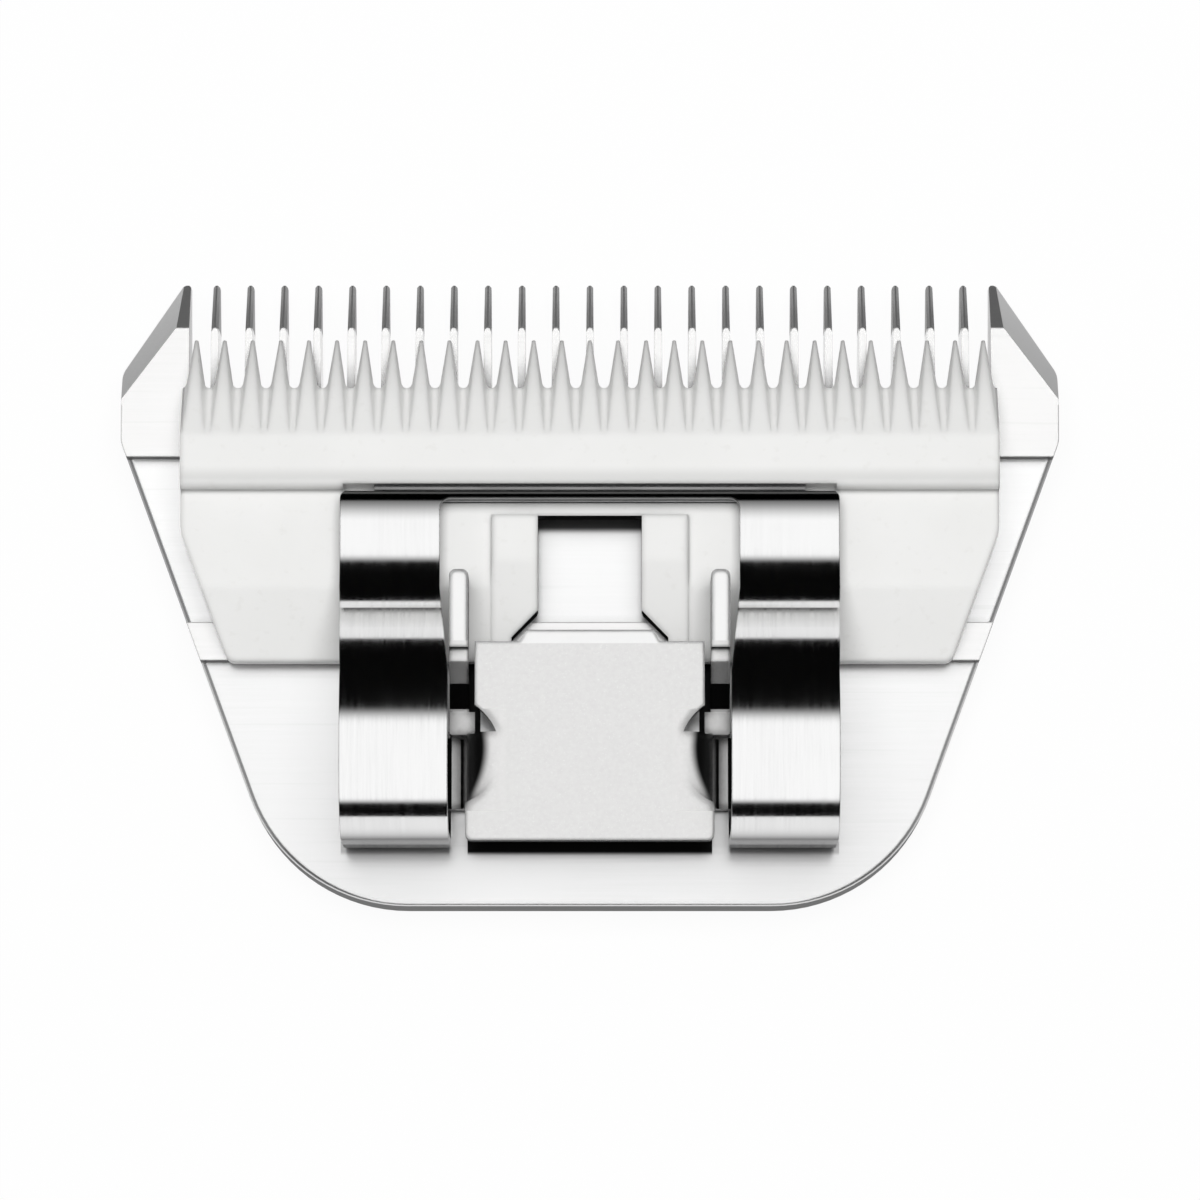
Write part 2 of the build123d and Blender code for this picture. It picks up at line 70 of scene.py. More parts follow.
def remap(tree, source, fromLow, fromHigh, toLow, toHigh, smooth=False):
    node = addNode(tree, "MapRange", interpolation_type="SMOOTHSTEP" if smooth else "LINEAR")
    for name, value in zip(
        ("Value", "From Min", "From Max", "To Min", "To Max"), (source, fromLow, fromHigh, toLow, toHigh)
    ):
        feed(tree, node.inputs[name], value)
    return node.outputs[0]


def fade(tree, source, start, full):  # rises softly from nought to one, also where full is the lower
    return remap(tree, source, start, full, 0.0, 1.0, smooth=True)


def pick(tree, mask, first, second):  # the second value where the mask holds
    return remap(tree, mask, 0.0, 1.0, first, second)


def grey(level, warmth=0.0):  # linear grey, a touch warmer or cooler
    return (level * (1 + warmth), level, level * (1 - warmth), 1.0)


def blendColour(tree, factor, first, second):
    node = addNode(tree, "Mix", data_type="RGBA")
    feed(tree, node.inputs[0], factor)
    feed(tree, node.inputs[6], first)
    feed(tree, node.inputs[7], second)
    return node.outputs[2]


def paint(tree, colour, *coats):  # lays coats of (share, colour) over each other
    for share, coat in coats:
        colour = blendColour(tree, share, colour, coat)
    return colour


def addNoise(tree, vector, scale, detail, roughness=0.5):
    node = addNode(tree, "TexNoise")
    for name, value in zip(("Vector", "Scale", "Detail", "Roughness"), (vector, scale, detail, roughness)):
        feed(tree, node.inputs[name], value)
    return node.outputs[0]


def newGroup(name, inputs, outputs):  # inputs give kind and default by name, outputs give kind by name
    group = bpy.data.node_groups.new(name, "ShaderNodeTree")
    for socketName, (kind, value) in inputs.items():
        socket = group.interface.new_socket(socketName, in_out="INPUT", socket_type="NodeSocket" + kind)
        socket.default_value = value
    for socketName, kind in outputs.items():
        group.interface.new_socket(socketName, in_out="OUTPUT", socket_type="NodeSocket" + kind)
    entry = group.nodes.new("NodeGroupInput")
    leave = group.nodes.new("NodeGroupOutput")
    return group, entry.outputs, leave.inputs


strokeSettings = {
    "lineScale": 1.0,
    "lineDetail": 5.0,
    "lineRoughness": 0.7,
    "lineSpan": (0.3, 0.7),  # the part of the noise that is used
    "deepScale": 0.37,
    "deepDetail": 2.0,
    "deepSpan": (0.62, 0.74),
    "patchDetail": 3.0,
    "patchSpan": (0.3, 0.7),
}


def makeStrokes(s):  # fine grinding or rolling lines, whose stretch sets their density along each axis
    group, entry, leave = newGroup(
        "strokes",
        {"stretch": ("Vector", (1.0, 1.0, 1.0)), "patchScale": ("Float", 100.0)},
        {"lines": "Float", "deep": "Float", "patches": "Float"},
    )
    place = addNode(group, "TexCoord").outputs["Object"]
    stretched = addNode(group, "VectorMath", operation="MULTIPLY")
    group.links.new(place, stretched.inputs[0])
    group.links.new(entry["stretch"], stretched.inputs[1])
    lines = addNoise(group, stretched.outputs[0], s["lineScale"], s["lineDetail"], s["lineRoughness"])
    deep = addNoise(group, stretched.outputs[0], s["deepScale"], s["deepDetail"])
    patches = addNoise(group, place, entry["patchScale"], s["patchDetail"])
    group.links.new(remap(group, lines, *s["lineSpan"], 0.0, 1.0), leave["lines"])
    group.links.new(fade(group, deep, *s["deepSpan"]), leave["deep"])
    group.links.new(remap(group, patches, *s["patchSpan"], 0.0, 1.0), leave["patches"])
    return group


edgeMarkSettings = {
    "edgeTurn": (0.995, 0.86),  # how far the rounded normal turns where the edge mark starts and is full
    "chipScale": 900.0,
    "chipDetail": 4.0,
}


def makeEdges(s):  # rounds sharp edges in the shading and marks them, for wear or for painted edge shade
    group, entry, leave = newGroup(
        "edges",
        {"radius": ("Float", 0.05 * mm), "breakup": ("Float", 0.5)},
        {"edgeWearAndShade": "Float", "normal": "Vector"},
    )
    rounded = addNode(group, "Bevel", samples=shadeSamples)
    group.links.new(entry["radius"], rounded.inputs["Radius"])
    surface = addNode(group, "NewGeometry")
    turned = addNode(group, "VectorMath", operation="DOT_PRODUCT")
    group.links.new(rounded.outputs[0], turned.inputs[0])
    group.links.new(surface.outputs["Normal"], turned.inputs[1])
    edge = remap(group, turned.outputs["Value"], *s["edgeTurn"], 0.0, 1.0)
    place = addNode(group, "TexCoord").outputs["Object"]
    chips = addNoise(group, place, s["chipScale"], s["chipDetail"])
    kept = calc(group, "SUBTRACT", 1.0, times(group, chips, entry["breakup"]))
    group.links.new(calc(group, "MULTIPLY", edge, kept, clamp=True), leave["edgeWearAndShade"])
    group.links.new(rounded.outputs[0], leave["normal"])
    return group


mottleSettings = {
    "cloudDetail": 6.0,
    "cloudRoughness": 0.6,
    "cloudSpan": (0.3, 0.7),
    "speckDetail": 2.0,
    "speckSpan": (0.6, 0.75),
}


def makeMottle(s):  # cloudy plating or firing marks with small specks
    group, entry, leave = newGroup(
        "mottle",
        {"cloudScale": ("Float", 300.0), "speckScale": ("Float", 2500.0)},
        {"cloud": "Float", "specks": "Float"},
    )
    place = addNode(group, "TexCoord").outputs["Object"]
    cloud = addNoise(group, place, entry["cloudScale"], s["cloudDetail"], s["cloudRoughness"])
    specks = addNoise(group, place, entry["speckScale"], s["speckDetail"])
    group.links.new(remap(group, cloud, *s["cloudSpan"], 0.0, 1.0), leave["cloud"])
    group.links.new(fade(group, specks, *s["speckSpan"]), leave["specks"])
    return group


def makeCreviceShade():  # painted crevice shade: one in the open, nothing deep in a crevice
    group, entry, leave = newGroup(
        "creviceShade",
        {"reach": ("Float", 2.0 * mm), "darkBelow": ("Float", 0.15), "cleanAbove": ("Float", 0.5)},
        {"clean": "Float"},
    )
    hollow = addNode(group, "AmbientOcclusion", samples=shadeSamples)
    group.links.new(entry["reach"], hollow.inputs["Distance"])
    clean = fade(group, hollow.outputs["AO"], entry["darkBelow"], entry["cleanAbove"])
    group.links.new(clean, leave["clean"])
    return group


strokesGroup = makeStrokes(strokeSettings)
edgesGroup = makeEdges(edgeMarkSettings)
mottleGroup = makeMottle(mottleSettings)
creviceShadeGroup = makeCreviceShade()
print("shader groups made")


def newMaterial(name):
    material = bpy.data.materials.new(name)
    material.use_nodes = True
    tree = material.node_tree
    tree.nodes.clear()
    return material, tree, addNode(tree, "OutputMaterial")


def newFinish(name):
    material, tree, output = newMaterial(name)
    shader = addNode(tree, "BsdfPrincipled")
    tree.links.new(shader.outputs[0], output.inputs["Surface"])
    return material, tree, shader


def useGroup(tree, group, **values):
    node = addNode(tree, "Group", node_tree=group)
    for name, value in values.items():
        feed(tree, node.inputs[name], value)
    return node.outputs


def placeOf(tree):  # the shaded point along the part's own axes, and how far it is from the middle
    place = addNode(tree, "SeparateXYZ")
    tree.links.new(addNode(tree, "TexCoord").outputs["Object"], place.inputs[0])
    return place.outputs, calc(tree, "ABSOLUTE", place.outputs["X"])


def directionOf(tree):  # which way the face points
    normal = addNode(tree, "SeparateXYZ")
    tree.links.new(addNode(tree, "NewGeometry").outputs["Normal"], normal.inputs[0])
    return normal.outputs


def setColour(tree, shader, colour, s):  # with painted shade in the crevices of a piece
    creviceShade = useGroup(
        tree, creviceShadeGroup, reach=s["paintedShadeReach"], darkBelow=s["paintedShadeBelow"], cleanAbove=s["paintedShadeAbove"]
    )
    creviceShaded = blendColour(tree, creviceShade["clean"], grey(s["paintedShadeLevel"]), colour)
    tree.links.new(creviceShaded, shader.inputs["Base Color"])


def setRough(tree, shader, source, s):
    rough = pick(tree, source, s["rough"], s["rough"] + s["roughSpread"])
    tree.links.new(rough, shader.inputs["Roughness"])


def dullGlint(tree, shader, shadeShare):  # takes away the glint that steel has at a flat angle, as part of painted shade
    tree.links.new(blendColour(tree, shadeShare, grey(1.0), grey(0.0)), shader.inputs["Specular Tint"])


def addBump(tree, shader, height, edges, s):
    bump = addNode(tree, "Bump")
    bump.inputs["Strength"].default_value = s["bumpStrength"]
    bump.inputs["Distance"].default_value = s["bumpDepth"]
    tree.links.new(height, bump.inputs["Height"])
    tree.links.new(edges["normal"], bump.inputs["Normal"])
    tree.links.new(bump.outputs[0], shader.inputs["Normal"])


combSettings = {
    "ground": 0.95,  # relief faces, linear grey
    "groundRear": 0.86,  # the rear of the plate is a little darker
    "groundSpan": (-17.0 * mm, 3.0 * mm),
    "lapped": 0.90,  # lands that the cutter runs on
    "lappedWarmth": 0.004,
    "lapHeight": 3.9 * mm,  # lands lie above this level
    "roughGround": 0.14,
    "roughLapped": 0.15,
    "roughSpread": 0.07,
    "satinMetal": 0.7,  # ground faces are satin, so part of the light spreads
    "tiltMetal": 0.82,  # tilted ones less so
    "satinTilt": (0.93, 0.985),
    "strokeStretch": (160.0, 9000.0, 9000.0),  # ground lines run along the row of teeth
    "patchScale": 110.0,
    "streakDrop": 0.06,
    "scoreDark": 0.62,
    "scoreShare": 0.15,
    "bumpDepth": 0.003 * mm,
    "bumpStrength": 0.14,
    "bevelStart": 14.7 * mm,  # the tooth bevels lie in front of this
    # painted shade: the tooth bevels are coloured dark
    "bevelShade": 0.42,
    "bevelRough": 0.42,
    "toothHalf": 22.2 * mm,  # the row of teeth reaches this far from the middle
    "sideTilt": 0.35,  # faces turned further to the side belong to the wings' facets
    "facetColour": 0.72,
    "facetRough": 0.28,
    "wallTilt": 0.35,  # faces steeper than this are coloured darker, rougher and lose their glint
    "wallColour": 0.30,
    "wallRough": 0.4,
    "wallDull": 0.7,
    "edgeRadius": 0.11 * mm,
    "edgeBreakup": 0.6,
    "toothStart": 10.4 * mm,
    "toothEdgeRadius": 0.03 * mm,
    "toothEdgeBright": 0.90,  # worn edges of the teeth
    "toothEdgeShare": 0.5,
    "edgeShadeDark": 0.10,  # painted shade darkens all other edges
    "edgeShare": 0.95,
    "paintedShadeReach": 1.6 * mm,
    "paintedShadeBelow": 0.06,
    "paintedShadeAbove": 0.42,
    "paintedShadeLevel": 0.01,
    "channelHalf": 6.75 * mm,  # painted shade lies in the hinge channel
    "channelEnd": -3.6 * mm,
    "channelSpan": (-14.62 * mm, -14.36 * mm),  # and fades in over this stretch
    "notchSpan": (5.0 * mm, 6.05 * mm),  # the floor under the web's two notches gets no painted shade, as light comes through there
    "notchDepth": (-8.35 * mm, -6.2 * mm),
    "footSpan": (7.75 * mm, 13.75 * mm),  # a little painted shade lies behind the spring's feet
    "footEnd": -13.8 * mm,
    "footShare": 0.42,
    "slotHalf": 4.6 * mm,  # and more in the front corner of the drive slot
    "slotSpan": (3.3 * mm, 3.7 * mm),
    "slotEnd": 5.2 * mm,
    "slotShare": 0.9,
}


def makeCombSteel(s):
    material, tree, shader = newFinish("combSteel")
    strokes = useGroup(tree, strokesGroup, stretch=s["strokeStretch"], patchScale=s["patchScale"])
    place, sideways = placeOf(tree)
    normal = directionOf(tree)
    onTeeth = above(tree, place["Y"], s["toothStart"])
    radius = pick(tree, onTeeth, s["edgeRadius"], s["toothEdgeRadius"])
    edges = useGroup(tree, edgesGroup, radius=radius, breakup=s["edgeBreakup"])
    onLand = above(tree, place["Z"], s["lapHeight"])
    turned = above(tree, calc(tree, "ABSOLUTE", normal["X"]), s["sideTilt"])
    onFacet = times(tree, above(tree, sideways, s["toothHalf"]), turned)
    onBevel = without(tree, above(tree, place["Y"], s["bevelStart"]), onFacet)
    onWall = without(tree, below(tree, normal["Z"], s["wallTilt"]), onTeeth)

    # painted shade in the channel, behind the feet and in the slot, which also loses its glint
    inChannel = times(tree, below(tree, sideways, s["channelHalf"]), below(tree, place["Y"], s["channelEnd"]))
    throughNotch = times(tree, within(tree, sideways, *s["notchSpan"]), within(tree, place["Y"], *s["notchDepth"]))
    behindFoot = times(tree, within(tree, sideways, *s["footSpan"]), below(tree, place["Y"], s["footEnd"]))
    shadeArea = either(tree, without(tree, inChannel, throughNotch), times(tree, behindFoot, s["footShare"]))
    fadedShade = times(tree, shadeArea, fade(tree, place["Y"], *s["channelSpan"]))
    inSlot = times(tree, below(tree, sideways, s["slotHalf"]), below(tree, place["Y"], s["slotEnd"]))
    slotShade = times(tree, fade(tree, place["Y"], *s["slotSpan"]), inSlot, s["slotShare"])
    combShade = either(tree, fadedShade, slotShade)
    dullGlint(tree, shader, either(tree, combShade, times(tree, onWall, s["wallDull"])))

    forward = remap(tree, place["Y"], *s["groundSpan"], 0.0, 1.0)
    rimShare = pick(tree, onTeeth, s["edgeShare"], s["toothEdgeShare"])
    rimColour = blendColour(tree, onTeeth, grey(s["edgeShadeDark"]), grey(s["toothEdgeBright"]))
    colour = paint(
        tree,
        grey(s["groundRear"]),
        (forward, grey(s["ground"])),
        (onLand, grey(s["lapped"], s["lappedWarmth"])),
        (onBevel, grey(s["bevelShade"])),
        (onFacet, grey(s["facetColour"])),
        (onWall, grey(s["wallColour"])),
        (times(tree, strokes["lines"], strokes["patches"], s["streakDrop"]), grey(0.0)),
        (times(tree, strokes["deep"], s["scoreShare"]), grey(s["scoreDark"])),
        (times(tree, edges["edgeWearAndShade"], rimShare), rimColour),
        (combShade, grey(s["paintedShadeLevel"])),
    )
    setColour(tree, shader, colour, s)

    rough = pick(tree, onLand, s["roughGround"], s["roughLapped"])
    for mask, maskRough in ((onBevel, "bevelRough"), (onFacet, "facetRough"), (onWall, "wallRough")):
        rough = pick(tree, mask, rough, s[maskRough])
    lineRough = times(tree, strokes["lines"], s["roughSpread"])
    tree.links.new(calc(tree, "ADD", rough, lineRough), shader.inputs["Roughness"])
    satin = remap(tree, normal["Z"], *s["satinTilt"], s["tiltMetal"], s["satinMetal"])
    tree.links.new(satin, shader.inputs["Metallic"])
    addBump(tree, shader, strokes["lines"], edges, s)
    return material


ceramicSettings = {
    "white": (0.85, 0.85, 0.84, 1.0),
    "shade": (0.81, 0.81, 0.795, 1.0),
    "speck": (0.66, 0.65, 0.62, 1.0),
    "cloudShare": 0.5,
    "speckShare": 0.15,
    "cloudScale": 160.0,
    "speckScale": 1800.0,
    "rough": 0.30,
    "roughSpread": 0.12,
    "ior": 1.7,
    "gloss": 0.5,
    "bumpDepth": 0.003 * mm,
    "bumpStrength": 0.2,
    "edgeRadius": 0.5 * mm,
    "edgeBreakup": 0.4,
    "tipShade": (0.68, 0.68, 0.67, 1.0),  # painted shade: the tooth tips are greyed towards the front
    "tipSpan": (9.5 * mm, 14.2 * mm),
    "flutePitch": 1.558 * mm,
    "fluteShade": (0.80, 0.80, 0.79, 1.0),
    "fluteEdges": (0.42, 0.16),  # share of the pitch where the painted shade starts and is full
    "fluteSpan": (8.2 * mm, 11.2 * mm),
    "riserShade": (0.70, 0.70, 0.69, 1.0),
    "riserSpan": (5.5 * mm, 5.9 * mm, 6.6 * mm),  # rear end, middle and front end of the painted shade band on the riser
    "slotReach": 4.2 * mm,  # steep walls behind this and near the middle belong to the drive slot and are painted dark as shade
    "slotHalf": 4.6 * mm,
    "slotTilt": 0.3,
    "slotWallShade": 0.02,
    "paintedShadeReach": 1.2 * mm,
    "paintedShadeBelow": 0.05,
    "paintedShadeAbove": 0.35,
    "paintedShadeLevel": 0.72,
}


def makeCeramic(s):
    material, tree, shader = newFinish("cutterCeramic")
    mottle = useGroup(tree, mottleGroup, cloudScale=s["cloudScale"], speckScale=s["speckScale"])
    edges = useGroup(tree, edgesGroup, radius=s["edgeRadius"], breakup=s["edgeBreakup"])
    place, sideways = placeOf(tree)
    normal = directionOf(tree)
    # painted shade in the flutes behind the gullets
    step = calc(tree, "FRACT", calc(tree, "DIVIDE", place["X"], s["flutePitch"]))
    offCentre = calc(tree, "ABSOLUTE", calc(tree, "SUBTRACT", step, 0.5))
    onFlute = times(tree, fade(tree, offCentre, *s["fluteEdges"]), fade(tree, place["Y"], *s["fluteSpan"]))
    rear, middle, front = s["riserSpan"]
    onRiser = times(tree, fade(tree, place["Y"], rear, middle), fade(tree, place["Y"], front, middle))
    inSlot = times(tree, below(tree, place["Y"], s["slotReach"]), below(tree, sideways, s["slotHalf"]))
    onSlotWall = times(tree, inSlot, below(tree, normal["Z"], s["slotTilt"]))
    colour = paint(
        tree,
        s["white"],
        (times(tree, mottle["cloud"], s["cloudShare"]), s["shade"]),
        (times(tree, mottle["specks"], s["speckShare"]), s["speck"]),
        (fade(tree, place["Y"], *s["tipSpan"]), s["tipShade"]),
        (onFlute, s["fluteShade"]),
        (onRiser, s["riserShade"]),
        (onSlotWall, grey(s["slotWallShade"])),
    )
    setColour(tree, shader, colour, s)
    setRough(tree, shader, mottle["cloud"], s)
    shader.inputs["IOR"].default_value = s["ior"]
    # the painted-shade slot wall also loses its reflection
    tree.links.new(pick(tree, onSlotWall, s["gloss"], 0.0), shader.inputs["Specular IOR Level"])
    addBump(tree, shader, mottle["cloud"], edges, s)
    return material


springSettings = {
    "bright": 0.90,
    "dull": 0.84,
    "rough": 0.07,
    "roughSpread": 0.10,
    "strokeStretch": (7000.0, 260.0, 260.0),  # rolled lines run along the strip
    "patchScale": 220.0,
    "bumpDepth": 0.004 * mm,
    "bumpStrength": 0.22,
    "edgeRadius": 0.10 * mm,
    "edgeBreakup": 0.5,
    # painted shade: the strip's edges are darkened
    "edgeShadeDark": 0.35,
    "frontSpan": (3.35 * mm, 4.7 * mm),  # painted shade: the front bend darkens over this stretch
    "frontDark": 0.12,
    "barHalf": 8.3 * mm,  # painted shade: the bar between the legs is dark
    "barStart": 4.55 * mm,
    "rearStart": -13.4 * mm,  # behind this the rear bend gets painted shade and loses its glint
    "rearSpan": (12.3 * mm, 10.3 * mm),
    "rearDark": 0.52,
    "rearDull": 0.6,
    "footSpan": (8.2 * mm, 7.2 * mm),  # and its foot is painted black as shade
    "footDark": 0.02,
    "paintedShadeReach": 2.5 * mm,
    "paintedShadeBelow": 0.3,
    "paintedShadeAbove": 0.75,
    "paintedShadeLevel": 0.02,
}


def makeSpringSteel(s):
    material, tree, shader = newFinish("springSteel")
    strokes = useGroup(tree, strokesGroup, stretch=s["strokeStretch"], patchScale=s["patchScale"])
    edges = useGroup(tree, edgesGroup, radius=s["edgeRadius"], breakup=s["edgeBreakup"])
    place, sideways = placeOf(tree)
    onBar = times(tree, above(tree, place["Y"], s["barStart"]), below(tree, sideways, s["barHalf"]))
    atFront = either(tree, fade(tree, place["Y"], *s["frontSpan"]), onBar)
    behind = below(tree, place["Y"], s["rearStart"])
    atRear = times(tree, behind, fade(tree, place["Z"], *s["rearSpan"]))
    atFoot = times(tree, behind, fade(tree, place["Z"], *s["footSpan"]))
    dullGlint(tree, shader, either(tree, atFoot, times(tree, atRear, s["rearDull"])))
    colour = paint(
        tree,
        grey(s["bright"]),
        (times(tree, strokes["lines"], strokes["patches"]), grey(s["dull"])),
        (edges["edgeWearAndShade"], grey(s["edgeShadeDark"])),
        (atFront, grey(s["frontDark"])),
        (atRear, grey(s["rearDark"])),
        (atFoot, grey(s["footDark"])),
    )
    setColour(tree, shader, colour, s)
    setRough(tree, shader, strokes["lines"], s)
    shader.inputs["Metallic"].default_value = 1.0
    addBump(tree, shader, strokes["lines"], edges, s)
    return material


socketSettings = {
    "bright": 0.73,
    "dull": 0.68,
    "warmth": 0.006,
    "speckBright": 0.9,
    "speckShare": 0.4,
    "cloudScale": 4200.0,
    "speckScale": 9000.0,
    "rough": 0.16,
    "roughSpread": 0.10,
    "satinMetal": 0.5,  # level faces are satin, so part of the light spreads
    "satinTilt": (0.6, 0.85),
    "bumpDepth": 0.003 * mm,
    "bumpStrength": 0.25,
    "tongueStart": -3.4 * mm,  # painted light: the tongue and the ears in front of this are coloured brighter than the web
    "tongueBright": 0.88,
    "tongueShare": 0.8,
    "bendHalf": 4.4 * mm,  # the web's hollow sides roll over softly
    "bendSpan": (-12.6 * mm, -7.0 * mm),
    "bendRadius": 0.75 * mm,
    "bendMetal": 0.1,
    "bendFade": (4.4 * mm, 5.3 * mm),
    "earHalf": 6.5 * mm,
    "earRadius": 0.42 * mm,
    "edgeRadius": 0.28 * mm,
    "edgeBreakup": 0.6,
    # painted shade: edges are darkened, the ears' the most
    "edgeShadeDark": 0.04,
    "edgeShare": 0.8,
    "earEdgeShare": 1.5,
    "shelfEdgeShare": 0.2,
    "steepSpan": (0.78, 0.45),  # painted shade: faces turn dark and lose their glint between these upward parts of their direction
    "steepDark": 0.28,
    "paintedShadeDark": 0.004,
    "hollowCentre": -9.1 * mm,  # the painted shade in the hollow beside the web follows a curve
    "hollowLength": 3.15 * mm,
    "hollowInner": 5.7 * mm,
    "hollowRise": 1.15 * mm,
    "hollowFade": (-0.35 * mm, 0.2 * mm),
    "hollowOuter": 7.1 * mm,
    "shelfInner": 6.3 * mm,  # the shelf outside this stays bright
    "shelfRear": -8.3 * mm,
    "neckSpan": (-6.85 * mm, -5.55 * mm),  # the sloping neck behind each ear is painted black as shade
    "slitSpan": (7.6 * mm, 8.0 * mm),  # so is the slit between flange and leg
    "slitDepth": (-12.3 * mm, -8.2 * mm),
    "paintedShadeReach": 3.0 * mm,
    "paintedShadeBelow": 0.15,
    "paintedShadeAbove": 0.62,
    "paintedShadeLevel": 0.008,
}


def makeSocketSteel(s):
    material, tree, shader = newFinish("socketSteel")
    mottle = useGroup(tree, mottleGroup, cloudScale=s["cloudScale"], speckScale=s["speckScale"])
    place, sideways = placeOf(tree)
    normal = directionOf(tree)
    atBend = times(tree, above(tree, sideways, s["bendHalf"]), within(tree, place["Y"], *s["bendSpan"]))
    onTongue = above(tree, place["Y"], s["tongueStart"])
    onEar = times(tree, onTongue, above(tree, sideways, s["earHalf"]))
    besideWeb = above(tree, sideways, s["shelfInner"])
    neckRear, neckFront = s["neckSpan"]
    onShelf = times(tree, besideWeb, within(tree, place["Y"], s["shelfRear"], neckRear))
    bendRadius = pick(tree, atBend, s["edgeRadius"], s["bendRadius"])
    radius = pick(tree, onEar, bendRadius, s["earRadius"])
    edges = useGroup(tree, edgesGroup, radius=radius, breakup=s["edgeBreakup"])
    edgeShare = pick(tree, onEar, s["edgeShare"], s["earEdgeShare"])
    rimShare = pick(tree, onShelf, edgeShare, s["shelfEdgeShare"])
    rim = calc(tree, "MULTIPLY", edges["edgeWearAndShade"], rimShare, clamp=True)

    # painted shade in the hollow beside the web, on the neck and in the slit
    away = calc(tree, "DIVIDE", calc(tree, "SUBTRACT", place["Y"], s["hollowCentre"]), s["hollowLength"])
    curve = calc(tree, "ADD", s["hollowInner"], times(tree, away, away, s["hollowRise"]))
    outer = pick(tree, above(tree, place["Y"], s["shelfRear"]), s["hollowOuter"], s["shelfInner"])
    pastCurve = fade(tree, calc(tree, "SUBTRACT", sideways, curve), *s["hollowFade"])
    inHollow = times(tree, pastCurve, atBend, below(tree, sideways, outer))
    onNeck = times(tree, besideWeb, within(tree, place["Y"], neckRear, neckFront))
    inSlit = times(tree, within(tree, sideways, *s["slitSpan"]), within(tree, place["Y"], *s["slitDepth"]))
    socketShade = either(tree, inHollow, either(tree, onNeck, inSlit))
    steep = fade(tree, normal["Z"], *s["steepSpan"])
    dullGlint(tree, shader, either(tree, steep, socketShade))

    colour = paint(
        tree,
        grey(s["bright"], s["warmth"]),
        (mottle["cloud"], grey(s["dull"], s["warmth"])),
        (times(tree, mottle["specks"], s["speckShare"]), grey(s["speckBright"])),
        (times(tree, onTongue, s["tongueShare"]), grey(s["tongueBright"])),
        (rim, grey(s["edgeShadeDark"])),
        (steep, grey(s["steepDark"])),
        (socketShade, grey(s["paintedShadeDark"])),
    )
    setColour(tree, shader, colour, s)
    setRough(tree, shader, mottle["cloud"], s)
    satin = remap(tree, normal["Z"], *s["satinTilt"], 1.0, s["satinMetal"])
    # the rolled sides are made mostly non-metal, to go with the painted shade in the hollow
    rolled = times(tree, atBend, fade(tree, sideways, *s["bendFade"]))
    tree.links.new(pick(tree, rolled, satin, s["bendMetal"]), shader.inputs["Metallic"])
    addBump(tree, shader, mottle["cloud"], edges, s)
    return material


guideSettings = {
    "bright": 0.55,
    "dull": 0.46,
    "rough": 0.45,
    "roughSpread": 0.15,
    "strokeStretch": (60.0, 7000.0, 7000.0),
    "patchScale": 300.0,
    "patchShare": 0.4,
    "bumpDepth": 0.005 * mm,
    "bumpStrength": 0.4,
    "edgeRadius": 0.06 * mm,
    "edgeBreakup": 0.6,
    "edgeBright": 0.85,
    "paintedShadeReach": 0.8 * mm,
    "paintedShadeBelow": 0.02,
    "paintedShadeAbove": 0.25,
    "paintedShadeLevel": 0.05,
}
screwSettings = dict(guideSettings, bright=0.66, dull=0.5, rough=0.28, strokeStretch=(5000.0, 5000.0, 60.0))


def makePlainSteel(name, s):
    material, tree, shader = newFinish(name)
    strokes = useGroup(tree, strokesGroup, stretch=s["strokeStretch"], patchScale=s["patchScale"])
    edges = useGroup(tree, edgesGroup, radius=s["edgeRadius"], breakup=s["edgeBreakup"])
    colour = paint(
        tree,
        grey(s["bright"]),
        (strokes["lines"], grey(s["dull"])),
        (times(tree, strokes["patches"], s["patchShare"]), grey(s["dull"])),
        (edges["edgeWearAndShade"], grey(s["edgeBright"])),
    )
    setColour(tree, shader, colour, s)
    setRough(tree, shader, strokes["patches"], s)
    shader.inputs["Metallic"].default_value = 1.0
    addBump(tree, shader, strokes["lines"], edges, s)
    return material


finishes = {
    "comb": makeCombSteel(combSettings),
    "cutter": makeCeramic(ceramicSettings),
    "cutter_guide": makePlainSteel("guideSteel", guideSettings),
    "tension_spring": makeSpringSteel(springSettings),
    "socket": makeSocketSteel(socketSettings),
    "fixing_screws": makePlainSteel("screwSteel", screwSettings),
}
for nodeName, finish in finishes.items():
    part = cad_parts[nodeName]
    part.data.materials.clear()
    part.data.materials.append(finish)
print("materials set:", len(finishes))

studioSettings = {
    "boxLevel": 1.05,
    "boxFront": (16.0, 30.0),  # the soft box fades out between these angles from straight up, in degrees
    "boxRear": (58.0, 70.0),
    "boxSide": (20.0, 32.0),
    "boxLowest": 0.001,  # upward part of a direction, kept above nought
    "ringLevel": 0.002,  # what mirrors see past the soft box, in front and behind
    "ringSide": 0.15,  # and to the left and right of the part
    "ringSideFrom": (0.1, 0.5),
    "fillLevel": 0.16,  # what matt surfaces get from all round
    "backdropShown": 1.0,
    "floorSize": 0.6,
    "floorDrop": 0.02 * mm,
    "floorPaper": 0.90,
    "floorShown": 0.94,  # share of plain white that the camera sees
    "floorMirrored": 0.88,  # how bright the metal sees the floor in front and behind
    "floorSide": 0.40,  # and at both sides
    "floorSideFade": (20.0 * mm, 38.0 * mm),
    "keyWatts": 2.04,
    "keySize": 0.30,
    "keyPlace": (0.0, 0.06, 0.46),
}


def insideAngles(tree, slope, angles):  # one inside the first angle, nothing past the second
    full, end = (math.tan(math.radians(angle)) for angle in angles)
    return fade(tree, slope, end, full)


def mixShaders(tree, share, first, second, output):
    mix = addNode(tree, "MixShader")
    tree.links.new(share, mix.inputs[0])
    tree.links.new(first.outputs[0], mix.inputs[1])
    tree.links.new(second.outputs[0], mix.inputs[2])
    tree.links.new(mix.outputs[0], output.inputs["Surface"])


